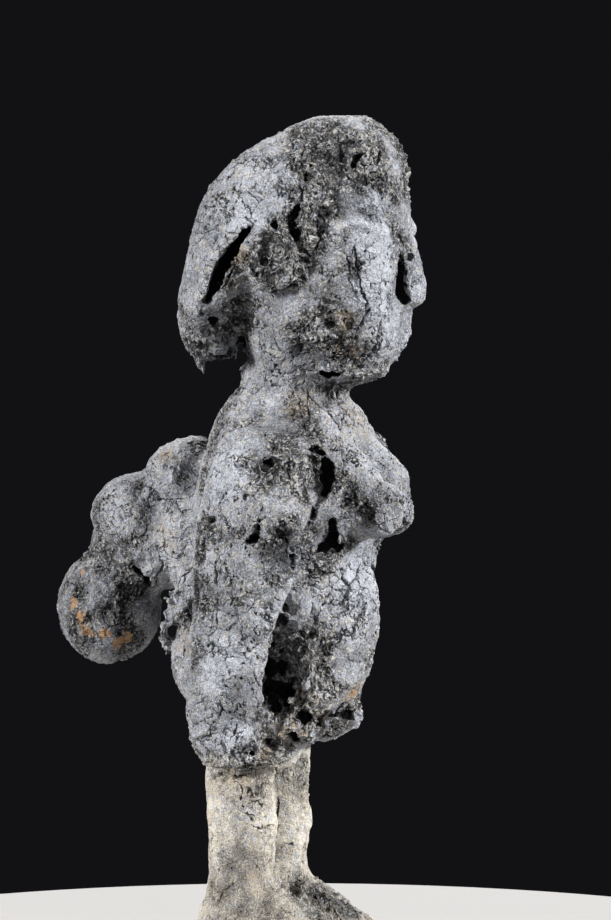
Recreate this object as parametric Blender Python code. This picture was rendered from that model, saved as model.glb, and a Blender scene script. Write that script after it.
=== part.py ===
# A carved wooden fetish figure: a standing woman with a load on her back, under a thick crust of old
# offerings. She, her load and the low base are one piece of wood, so the model is one closed solid.
#
# The frame is +Z up, the figure looks along -Y, and her right hand is at -X. The origin is the middle
# of the flat underside of the base.
import math

import bmesh
import bpy
from mathutils import Euler, Matrix, Vector

# Driving dimensions, in metres
BODY_HEIGHT = 0.250  # soles to crown
BASE_THICKNESS = 0.009
BASE_MARGIN = 0.0055  # of the base round the feet
BASE_EDGE = 0.0015  # rounding of the base's upper edge
SOLID_TRIANGLES = 9400

# The figure's own forms are written as shares of her height: she is drawn 250 units tall,
# measured up from the soles, and one unit is this long.
DRAWN_HEIGHT = 250
UNIT = BODY_HEIGHT / DRAWN_HEIGHT
GRAIN = 1.2 * UNIT  # of the skin that fuses the rough forms
SOFT_JOINS = 5  # rounds of smoothing where forms meet
SOFT_RIMS = 3  # round the carved hollows

NECK = Vector((0, -11.5, 171))  # the head turns about this point
HEAD_TURN = 8  # degrees to her left
STANCE = 13  # from the middle of the figure to the middle of each leg
FOOT_HALF_WIDTH = 9.5
HEEL = 18
TOES = -36
FEET_MIDDLE = (HEEL + TOES) / 2
BASE_SQUARENESS = 3  # of its plan: 2 is an ellipse, and more is squarer
RING_SIDES = 40
SPAN_STEPS = 4  # rings between two stations of a loft


def on_base(point):
    """A drawn point, in metres, standing on the base with the feet about its middle."""
    return (Vector(point) - Vector((0, FEET_MIDDLE, 0))) * UNIT + Vector((0, 0, BASE_THICKNESS))


def curve_through(values, step):
    """The Catmull-Rom value between values[1] and values[2], with step from 0 to 1."""
    before, start, end, after = values
    return 0.5 * (
        2 * start
        + (end - before) * step
        + (2 * before - 5 * start + 4 * end - after) * step**2
        + (3 * start - before - 3 * end + after) * step**3
    )


def between(stations):
    """The stations with smooth ones put in between them."""
    last = len(stations) - 1
    filled = []
    for i in range(last):
        around = [stations[max(0, min(last, i + k))] for k in (-1, 0, 1, 2)]
        for s in range(SPAN_STEPS):
            filled.append([curve_through(column, s / SPAN_STEPS) for column in zip(*around)])
    filled.append(list(stations[last]))
    return filled


def ring_of(bm, centre, side, front, half_side, half_front, squareness):
    """A superellipse of points round centre, in the plane of side and front."""
    ring = []
    for i in range(RING_SIDES):
        turn = math.tau * i / RING_SIDES
        cos, sin = math.cos(turn), math.sin(turn)
        across = math.copysign(abs(cos) ** (2 / squareness), cos) * half_side
        along = math.copysign(abs(sin) ** (2 / squareness), sin) * half_front
        ring.append(bm.verts.new(centre + side * across + front * along))
    return ring


def loft(stations, squareness=2.2, place=None, follow=False):
    """A closed body through stations of (x, y, z, half width in X, half depth).

    Its rings lie level, or with follow they stand across the line of the stations.
    """
    rows = between(stations)
    centres = [Vector(row[:3]) for row in rows]
    bm = bmesh.new()
    rings = []
    for i, row in enumerate(rows):
        tangent = Vector((0, 0, 1))
        if follow:
            tangent = (centres[min(i + 1, len(rows) - 1)] - centres[max(i - 1, 0)]).normalized()
        side = (Vector((1, 0, 0)) - tangent * tangent.x).normalized()
        front = tangent.cross(side)
        rings.append(ring_of(bm, centres[i], side, front, row[3], row[4], squareness))
    for lower, upper in zip(rings, rings[1:]):
        for i in range(RING_SIDES):
            j = (i + 1) % RING_SIDES
            bm.faces.new((lower[i], lower[j], upper[j], upper[i]))
    bm.faces.new(list(reversed(rings[0])))
    bm.faces.new(rings[-1])
    return finished(bm, place)


def egg(centre, radii, turn=(0, 0, 0), place=None):
    """An ellipsoid, turned by degrees about X, Y and Z."""
    bm = bmesh.new()
    bmesh.ops.create_uvsphere(bm, u_segments=RING_SIDES, v_segments=RING_SIDES // 2, radius=1)
    spin = Euler([math.radians(a) for a in turn]).to_matrix().to_4x4()
    bm.transform(Matrix.Translation(Vector(centre)) @ spin @ Matrix.Diagonal((*radii, 1)))
    return finished(bm, place)


def finished(bm, place):
    """The bmesh with its faces pointing out, in metres on the base."""
    if place is not None:
        bm.transform(place)
    for vert in bm.verts:
        vert.co = on_base(vert.co)
    bmesh.ops.recalc_face_normals(bm, faces=bm.faces)
    return bm


def pair(make, first, *rest, **named):
    """make called for her right side as given, and for her left with X turned round.

    first is one point or a list of stations.
    """
    if isinstance(first, list):
        other = [(-row[0], *row[1:]) for row in first]
    else:
        other = (-first[0], *first[1:])
    return [make(first, *rest, **named), make(other, *rest, **named)]


def head_place():
    """What moves the head from its own frame, about the neck, to the body."""
    return Matrix.Translation(NECK) @ Matrix.Rotation(math.radians(HEAD_TURN), 4, "Z")


def head_forms():
    """Skull and face, hair cap with its hanging flap, nose and ears. Y is 0 at the neck."""
    place = head_place()
    skull = [
        # x, y, z above the neck's middle, half width, half depth
        (0, -10, -1.5, 11, 11),
        (0, -8, 4, 16.5, 20),
        (0, -9, 11, 20.5, 23.8),
        (0, -8.8, 20, 23, 25.4),
        (0, -6.5, 31, 24.2, 28),
        (0, -4.8, 43, 24.8, 30.3),
        (0, -5, 54, 24.3, 29),
        (0, -8, 64, 22.5, 25),
        (0, -10.8, 71, 19, 19.6),
        (0, -13, 76, 14.5, 13.6),
        (0, -15, 79, 8.5, 7.5),
    ]
    cap = [
        (0, -1, 73, 14, 9),
        (0, 3.5, 68, 19.5, 12),
        (0, 7.5, 62, 23, 14),
        (0, 11, 54, 25.5, 16),
        (0, 13.5, 46, 26.5, 16.5),
        (0, 16, 38, 27, 15.6),
        (0, 18, 30, 27, 15.4),
        (0, 20.5, 24, 26, 14),
        (0, 23, 17, 23.5, 11.5),
        (0, 24.3, 11, 19.5, 9),
        (0, 24.5, 6, 14, 6),
    ]
    nose = [
        (0, -33.5, 45, 3, 2),
        (0, -35.6, 37, 3.3, 3),
        (0, -36.4, 29, 4.2, 3.6),
        (0, -36.2, 24.5, 4.6, 3.6),
        (0, -35.6, 22, 3.6, 2.4),
    ]
    return [
        loft(skull, 2.7, place),
        loft(cap, 2.4, place),
        loft(nose, 2.2, place),
        egg((0, -30, 49.5), (18, 4.6, 3), (0, 0, 0), place),
        *pair(egg, (-23.6, 1, 38.5), (5.4, 8.2, 9), place=place),
    ]


def head_hollows():
    """The slits under the cap's edges, the space inside its flap, and the hollows of ears, eyes and nose."""
    place = head_place()
    slit = [
        # x, y, z above the neck's middle, half depth into the head, half thickness
        (-26, 6.5, 46.5, 3, 0.7),
        (-25, 9.5, 44, 6, 1.3),
        (-25, 13, 39, 8, 1.7),
        (-25, 16.2, 34, 8.5, 1.8),
        (-25, 18.8, 28.5, 8, 1.7),
        (-25, 21, 24, 5, 1.1),
        (-25, 22.3, 20.5, 3, 0.7),
    ]
    return [
        *pair(loft, slit, 2.4, place, follow=True),
        egg((0, 19.5, 6.5), (26, 3.2, 9.5), (-14, 0, 0), place),
        *pair(egg, (-29.6, 1, 38.5), (5, 5, 5.6), place=place),
        *pair(egg, (-6.6, -36, 29.5), (2.3, 5, 7), (6, 0, 0), place),
        *pair(egg, (-10, -36.5, 41), (6.5, 5, 4.2), (0, 0, 0), place),
    ]


def torso_forms():
    """Neck, trunk, breasts, belly and buttocks, and the crust that joins the breasts to the arms."""
    trunk = [
        (0, -10.5, 176, 13.5, 15.5),
        (0, -9.8, 168, 14.8, 17.5),
        (0, -10, 162, 19, 21.5),
        (0, -10.5, 155, 26, 24),
        (0, -10, 147, 27, 24.5),
        (0, -9.5, 135, 26, 25),
        (0, -8.5, 122, 25, 25),
        (0, -7, 110, 23, 25),
        (0, -5, 95, 19, 22),
        (0, -3, 82, 18.5, 19),
        (0, -1, 70, 19.5, 15.5),
        (0, 0, 60, 19, 12),
        (0, 0.5, 54, 17, 10),
    ]
    breast = [
        (-12, -12, 147, 13, 16),
        (-10.5, -24, 141, 12, 15.5),
        (-9.5, -35, 135, 9.5, 12.8),
        (-9, -41.5, 132, 6.5, 8.5),
        (-8.8, -45.5, 130.8, 3.2, 4),
    ]
    crust = [
        (0, -10, 160, 19, 17),
        (0, -10.5, 151, 28, 22.5),
        (0, -10.5, 139, 31, 25.5),
        (0, -9.5, 125, 31, 25.5),
        (0, -8, 113, 27, 22),
        (0, -7, 105, 21, 19),
    ]
    return [
        loft(trunk, 2.3),
        loft(crust, 3.2),
        *pair(loft, breast, 2.2, follow=True),
        egg((0, -27, 138), (6, 10, 11), (-35, 0, 0)),
        egg((0, -17, 99), (20.5, 19.5, 30)),
        *pair(egg, (-12, 9, 88), (12, 15, 17)),
        *pair(egg, (-12, -15, 71.5), (13.5, 12, 10)),
        egg((-14, -7, 64), (11, 10.5, 11)),
        egg((13, -3, 65), (10, 8.5, 9)),
    ]


def torso_hollows():
    """The armpits, the hollows beside the breasts' undersides, and those between forearm and belly."""
    return [
        egg((-27.5, -28.8, 143), (7, 3, 8.5), (-14, 0, 22)),
        egg((27.5, -28.8, 143), (7, 3, 8.5), (-14, 0, -22)),
        egg((-23, -31, 123.5), (7, 3.4, 4.4), (0, 0, 22)),
        egg((23, -31, 123.5), (7, 3.4, 4.4), (0, 0, -22)),
        *pair(egg, (-22, -17, 84), (10.5, 6.5, 12.5), (10, 0, 0)),
    ]


def arm(side, forward, hand_end, hand_lean):
    """One arm down to its mitten hand, which ends at the height hand_end.

    side is -1 for her right, forward moves the lower half, and hand_lean the hand's end backwards.
    """
    stations = [
        (side * 22, -12, 158, 8, 14),
        (side * 27, -13.5, 150, 9, 17.5),
        (side * 29.5, -12.5, 138, 8.5, 18.5),
        (side * 30, -9, 124, 8, 17.5),
        (side * 30, -6 - forward * 0.5, 110, 7.5, 15),
        (side * 30, -2.5 - forward, 92, 7, 12.3),
        (side * 30, -0.5 - forward, 76, 7, 12),
        (side * 29.5, -1 - forward + hand_lean * 0.4, hand_end + 6.5, 6.5, 11.2),
        (side * 29, -1.5 - forward + hand_lean, hand_end, 5, 7.5),
    ]
    return loft(stations, 2.4)


def leg_forms():
    """Column legs on wedge-shaped feet that slope down to the toes."""
    leg = [
        (-STANCE, 0.5, 72, 9, 11),
        (-STANCE, 0.7, 50, 8.5, 11),
        (-STANCE, 0.5, 35, 8, 10.5),
        (-STANCE, 0.7, 22, 8, 10.3),
        (-STANCE, 1, 8, 9, 13),
        (-STANCE, 1, -2, 9, 15),
    ]
    foot = [
        (-STANCE, 12, 6, 7.5, 9),
        (-STANCE, 2, 8, 9, 12),
        (-STANCE, -9, 8, 9.2, 12.5),
        (-STANCE, -20, 4, FOOT_HALF_WIDTH, 9.5),
        (-STANCE, -30, 0, FOOT_HALF_WIDTH, 7.5),
        (-STANCE, TOES, -2, 8, 5.5),
    ]
    return [*pair(loft, leg, 2.4), *pair(loft, foot, 2.4, follow=True)]


def load_forms():
    """The lumpy load on her back, which ends in a round ball that hangs clear of the buttocks."""
    return [
        egg((1.5, 24, 141), (18, 14, 12.5), (-25, 0, 0)),
        egg((-1.5, 40.5, 130), (17, 13, 13), (-35, 0, 8)),
        egg((1, 42, 119), (15, 14, 14)),
        egg((0, 31, 124), (20, 17, 17)),
        egg((0, 18, 128), (21, 14, 20)),
        egg((0, 15, 112), (19, 11, 14)),
        egg((-1, 49.3, 101.7), (17, 16.3, 18)),
    ]


def base_form():
    """The low base, rounded in plan and flat below, BASE_MARGIN wider than the feet all round."""
    bm = bmesh.new()
    half_width = (STANCE + FOOT_HALF_WIDTH) * UNIT + BASE_MARGIN
    half_length = (HEEL - TOES) / 2 * UNIT + BASE_MARGIN
    across, along = Vector((1, 0, 0)), Vector((0, 1, 0))
    rings = []
    for height, inset in ((0, 0), (BASE_THICKNESS - BASE_EDGE, 0), (BASE_THICKNESS, BASE_EDGE)):
        centre = Vector((0, 0, height))
        halves = (half_width - inset, half_length - inset)
        rings.append(ring_of(bm, centre, across, along, *halves, BASE_SQUARENESS))
    for lower, upper in zip(rings, rings[1:]):
        for i in range(RING_SIDES):
            j = (i + 1) % RING_SIDES
            bm.faces.new((lower[i], lower[j], upper[j], upper[i]))
    bm.faces.new(list(reversed(rings[0])))
    bm.faces.new(rings[-1])
    bmesh.ops.recalc_face_normals(bm, faces=bm.faces)
    return bm


def joined(name, forms):
    """One object that holds every form, still overlapping."""
    whole = bpy.data.meshes.new(name)
    gathered = bmesh.new()
    for bm in forms:
        bm.to_mesh(whole)
        gathered.from_mesh(whole)
        bm.free()
    gathered.to_mesh(whole)
    gathered.free()
    made = bpy.data.objects.new(name, whole)
    bpy.context.scene.collection.objects.link(made)
    return made


def applied(made):
    """Swaps the object's mesh for what its modifiers make of it."""
    bpy.context.view_layer.update()
    seen = made.evaluated_get(bpy.context.evaluated_depsgraph_get())
    mesh = bpy.data.meshes.new_from_object(seen)
    made.modifiers.clear()
    made.data = mesh


def fuse(made, softening):
    """Fuses the overlapping forms into one skin, softened where they meet."""
    remesh = made.modifiers.new("Fuse", "REMESH")
    remesh.mode = "VOXEL"
    remesh.voxel_size = GRAIN
    soften = made.modifiers.new("Soften", "SMOOTH")
    soften.factor = 0.5
    soften.iterations = softening
    applied(made)


def carve(made, hollows):
    """Cuts the hollows out of the skin, and fuses it again so that their rims are soft."""
    cutter = joined("hollows", hollows)
    cutter.hide_render = True
    cutter.display_type = "WIRE"
    fuse(cutter, 1)
    cut = made.modifiers.new("Carve", "BOOLEAN")
    cut.operation = "DIFFERENCE"
    cut.object = cutter
    applied(made)
    fuse(made, SOFT_RIMS)


def thin_out(made):
    """Brings the skin down to the solid's triangle count, and cuts the underside flat."""
    triangles = sum(len(p.vertices) - 2 for p in made.data.polygons)
    thin = made.modifiers.new("Thin out", "DECIMATE")
    thin.ratio = SOLID_TRIANGLES / triangles
    thin.use_collapse_triangulate = True
    applied(made)
    bm = bmesh.new()
    bm.from_mesh(made.data)
    cut = bmesh.ops.bisect_plane(
        bm,
        geom=[*bm.verts, *bm.edges, *bm.faces],
        plane_co=(0, 0, 0),
        plane_no=(0, 0, -1),
        clear_outer=True,
    )
    rim = [e for e in cut["geom_cut"] if isinstance(e, bmesh.types.BMEdge)]
    bmesh.ops.contextual_create(bm, geom=rim)
    bmesh.ops.triangulate(bm, faces=bm.faces)
    bm.to_mesh(made.data)
    bm.free()


def crusted_wood():
    """Dark wood under a dry grey crust."""
    material = bpy.data.materials.new("crusted_wood")
    material.use_nodes = True
    shader = material.node_tree.nodes["Principled BSDF"]
    shader.inputs["Base Color"].default_value = (0.19, 0.185, 0.175, 1)
    shader.inputs["Roughness"].default_value = 0.8
    shader.inputs["Metallic"].default_value = 0
    return material


def main():
    for old in list(bpy.data.objects):
        bpy.data.objects.remove(old)
    forms = [*head_forms(), *torso_forms(), *leg_forms(), *load_forms()]
    forms += [arm(-1, 0, 57, -1.5), arm(1, 9, 60.5, 6)]
    forms.append(base_form())
    figure = joined("figure", forms)
    fuse(figure, SOFT_JOINS)
    carve(figure, [*head_hollows(), *torso_hollows()])
    thin_out(figure)
    figure.data.materials.clear()
    figure.data.materials.append(crusted_wood())
    figure.data.shade_smooth()
    figure.data.set_sharp_from_angle(angle=math.radians(50))


main()
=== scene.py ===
# A carved wooden fetish figure: a woman with a load on her back, under a thick cracked crust
import math
import random

import bpy
import numpy as np
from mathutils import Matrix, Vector
from mathutils.bvhtree import BVHTree
from mathutils.kdtree import KDTree


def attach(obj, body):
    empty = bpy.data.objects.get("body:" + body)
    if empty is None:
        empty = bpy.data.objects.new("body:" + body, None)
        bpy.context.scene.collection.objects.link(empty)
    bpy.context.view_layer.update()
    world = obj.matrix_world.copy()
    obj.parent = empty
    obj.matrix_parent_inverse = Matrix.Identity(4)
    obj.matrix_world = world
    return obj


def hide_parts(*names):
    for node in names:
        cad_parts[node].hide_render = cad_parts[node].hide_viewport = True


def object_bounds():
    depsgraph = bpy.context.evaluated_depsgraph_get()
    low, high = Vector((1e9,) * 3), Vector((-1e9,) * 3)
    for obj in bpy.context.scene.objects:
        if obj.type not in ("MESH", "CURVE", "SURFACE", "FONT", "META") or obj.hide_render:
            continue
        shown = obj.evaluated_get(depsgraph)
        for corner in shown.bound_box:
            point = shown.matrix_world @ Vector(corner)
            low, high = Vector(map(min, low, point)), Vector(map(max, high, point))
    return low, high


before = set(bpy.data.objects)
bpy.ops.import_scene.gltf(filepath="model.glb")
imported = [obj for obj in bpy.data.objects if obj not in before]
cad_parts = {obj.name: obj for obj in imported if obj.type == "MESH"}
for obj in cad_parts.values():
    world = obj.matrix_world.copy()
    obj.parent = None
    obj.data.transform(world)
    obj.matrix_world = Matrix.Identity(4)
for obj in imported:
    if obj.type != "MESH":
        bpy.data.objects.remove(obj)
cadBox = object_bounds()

mm = 0.001


def clearSelection():
    if bpy.context.object and bpy.context.object.mode != "OBJECT":
        bpy.ops.object.mode_set(mode="OBJECT")
    bpy.ops.object.select_all(action="DESELECT")


def makeActive(thing):
    clearSelection()
    thing.select_set(True)
    bpy.context.view_layer.objects.active = thing


def triangleCount(thing):
    return sum(len(face.vertices) - 2 for face in thing.data.polygons)


def applied(thing, kind, **settings):
    step = thing.modifiers.new(kind.lower(), kind)
    for name, value in settings.items():
        setattr(step, name, value)
    makeActive(thing)
    bpy.ops.object.modifier_apply(modifier=step.name)


def storeValues(thing, name, values):
    layer = thing.data.attributes.new(name, "FLOAT", "POINT")
    layer.data.foreach_set("value", np.ascontiguousarray(values, np.float32))


def mirrored(way):
    return Vector((-way.x, way.y, way.z))


# Node helpers. What they put down goes into the node tree that is on the bench
bench = {"tree": None}


def put(kind, **settings):
    node = bench["tree"].nodes.new(kind)
    for name, value in settings.items():
        setattr(node, name, value)
    return node


def join(value, socket):
    if isinstance(value, bpy.types.NodeSocket):
        bench["tree"].links.new(value, socket)
    elif socket.type == "RGBA":
        socket.default_value = (*value, 1)
    else:
        socket.default_value = value


def calc(operation, *values):
    node = put("ShaderNodeMath", operation=operation)
    for value, socket in zip(values, node.inputs):
        join(value, socket)
    return node.outputs[0]


def total(*terms):
    amount = terms[0]
    for term in terms[1:]:
        amount = calc("ADD", amount, term)
    return amount


def product(*terms):
    amount = terms[0]
    for term in terms[1:]:
        amount = calc("MULTIPLY", amount, term)
    return amount


def scaled(value, much, base):
    return calc("MULTIPLY_ADD", value, much, base)


def past(value, level):
    return calc("SUBTRACT", value, level)


def above(value, level, much):
    return product(past(value, level), much)


def weighed(field, weights):
    return [product(field[name], weight) for name, weight in weights.items()]


def vector(operation, first, second=None, scale=None):
    node = put("ShaderNodeVectorMath", operation=operation)
    join(first, node.inputs[0])
    if second is not None:
        join(second, node.inputs[1])
    if scale is not None:
        join(scale, node.inputs["Scale"])
    return node.outputs["Vector"]


def apart(value):
    parts = put("ShaderNodeSeparateXYZ")
    join(value, parts.inputs[0])
    return parts.outputs


def spread(value, low, high, toLow=0.0, toHigh=1.0, soft=True):
    node = put("ShaderNodeMapRange", interpolation_type="SMOOTHSTEP" if soft else "LINEAR")
    for number, socket in zip((value, low, high, toLow, toHigh), node.inputs):
        join(number, socket)
    return node.outputs["Result"]


def less(value, *edges):
    return spread(value, *edges, 1.0, 0.0)


def noise(where, size, detail=2.0, rough=0.5, output="Fac"):
    node = put("ShaderNodeTexNoise", noise_dimensions="3D")
    for name, value in (("Vector", where), ("Scale", 1 / size), ("Detail", detail), ("Roughness", rough)):
        join(value, node.inputs[name])
    return node.outputs[output]


def swing(where, size, much, detail=2.0, rough=0.5):
    return above(noise(where, size, detail, rough), 0.5, much)


def swings(where, settings):
    return total(*[swing(where, *setting) for setting in settings])


def patches(where, size, low, high, detail=2.0):
    return spread(noise(where, size, detail), low, high)


def strayed(where, size, much):
    bend = vector("SUBTRACT", noise(where, size, output="Color"), (0.5, 0.5, 0.5))
    return vector("ADD", where, vector("SCALE", bend, scale=much))


def cells(where, size, feature):
    node = put("ShaderNodeTexVoronoi", voronoi_dimensions="3D", feature=feature)
    join(where, node.inputs["Vector"])
    join(1 / size, node.inputs["Scale"])
    return node


def blendIn(share, first, second, how="MIX"):
    node = put("ShaderNodeMix", data_type="RGBA", blend_type=how)
    for value, socket in zip((share, first, second), (node.inputs[0], node.inputs[6], node.inputs[7])):
        join(value, socket)
    return node.outputs[2]


def geometryTree(name):
    tree = bpy.data.node_groups.new(name, "GeometryNodeTree")
    for way in ("INPUT", "OUTPUT"):
        tree.interface.new_socket("Geometry", in_out=way, socket_type="NodeSocketGeometry")
    bench["tree"] = tree
    return put("NodeGroupInput").outputs[0], put("NodeGroupOutput").inputs[0]


def storedValue(name):
    node = put("GeometryNodeInputNamedAttribute", data_type="FLOAT")
    node.inputs["Name"].default_value = name
    return node.outputs["Attribute"]


# Camera: the figure seen from her right, a little from the front, just above the chest
view = {
    "azimuth": -68,
    "elevation": 3,
    "distance": 1.4,
    "imageWide": 611,
    "imageHigh": 920,
    "mmPerPixel": 0.3,  # at the figure's middle
    "target": (0, 9, 156),  # mm
    "toTheRight": 13.65,  # mm
}
turn, lift = math.radians(view["azimuth"]), math.radians(view["elevation"])
viewRight = Vector((math.cos(turn), math.sin(turn), 0))
viewBack = Vector((math.sin(turn) * math.cos(lift), -math.cos(turn) * math.cos(lift), math.sin(lift)))
viewUp = viewBack.cross(viewRight)


def makeCamera():
    data = bpy.data.cameras.new("camera")
    camera = bpy.data.objects.new("camera", data)
    bpy.context.scene.collection.objects.link(camera)
    data.lens = data.sensor_width * view["distance"] / (view["imageHigh"] * view["mmPerPixel"] * mm)
    target = (Vector(view["target"]) + viewRight * view["toTheRight"]) * mm
    camera.location = target + viewBack * view["distance"]
    camera.rotation_euler = (-viewBack).to_track_quat("-Z", "Y").to_euler()
    bpy.context.scene.camera = camera
    return camera


camera = makeCamera()
print("camera placed")

# The carving: the solid's own form, with holes eaten into it and small forms built up on it
carving = {
    "merge": 0.01,  # mm
    "grain": 0.5,  # mm, faces of the skin that takes the crust
    "soften": 3,
    "triangles": 196000,
}


def carvingCopy(node):
    clearSelection()
    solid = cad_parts[node].copy()
    solid.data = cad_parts[node].data.copy()
    solid.name = "solid"
    solid.parent = None
    for key in list(solid.keys()):
        del solid[key]
    bpy.context.scene.collection.objects.link(solid)
    makeActive(solid)
    bpy.ops.object.mode_set(mode="EDIT")
    bpy.ops.mesh.select_all(action="SELECT")
    bpy.ops.mesh.remove_doubles(threshold=carving["merge"] * mm)
    bpy.ops.mesh.normals_make_consistent(inside=False)
    bpy.ops.object.mode_set(mode="OBJECT")
    return solid


solid = carvingCopy("figure")
carved = BVHTree.FromObject(solid, bpy.context.evaluated_depsgraph_get())


def behindPixel(x, y):
    across = (x - view["imageWide"] / 2) * view["mmPerPixel"] * mm
    upward = (view["imageHigh"] / 2 - y) * view["mmPerPixel"] * mm
    aim = camera.location - viewBack * view["distance"] + viewRight * across + viewUp * upward
    hit, normal, face, distance = carved.ray_cast(camera.location, (aim - camera.location).normalized())
    if hit is None:
        hit, normal, face, distance = carved.find_nearest(aim)
    return hit, normal


def onHerLeft(point):
    return carved.find_nearest(mirrored(point))[0]


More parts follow.
